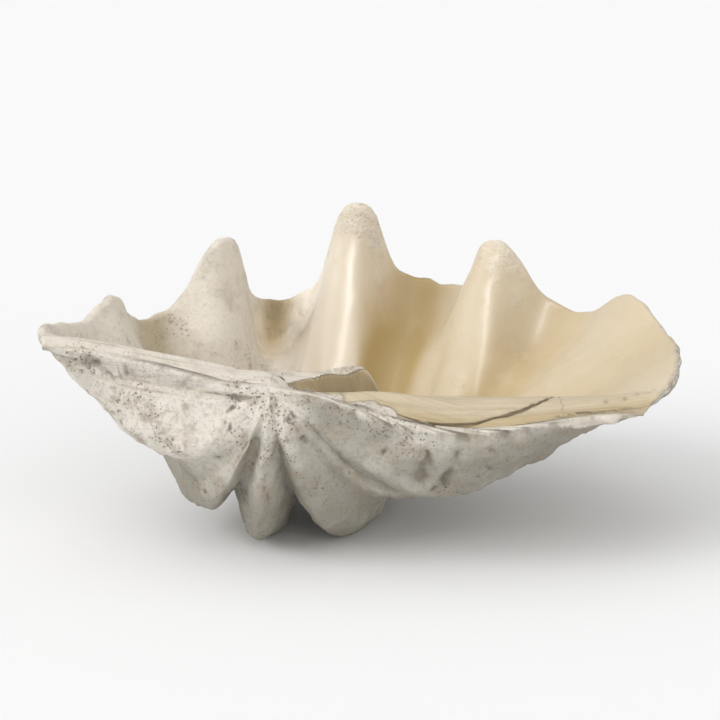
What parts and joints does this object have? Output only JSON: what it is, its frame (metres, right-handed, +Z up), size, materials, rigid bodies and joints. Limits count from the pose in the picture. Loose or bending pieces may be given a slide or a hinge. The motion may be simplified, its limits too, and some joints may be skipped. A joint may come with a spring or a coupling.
{
  "type": "clam shell valve",
  "caption": "Valve of a giant clam, lying on its ribs: a deep scalloped bowl with tall folds along the rim and a hinge plate with a tooth.",
  "frame": {"origin": "centre of the footprint, on the surface the valve rests on", "axes": "+Z up out of the hollow, +Y from the hinge to the scalloped rim, +X along the hinge to the long side"},
  "size_m": [0.6236, 0.4276, 0.2945],
  "materials": {
    "shell": "chalky and pitted outside, smooth with a soft gloss inside"
  },
  "bodies": {
    "root": {"clam_shell": "shell"}
  },
  "joints": []
}
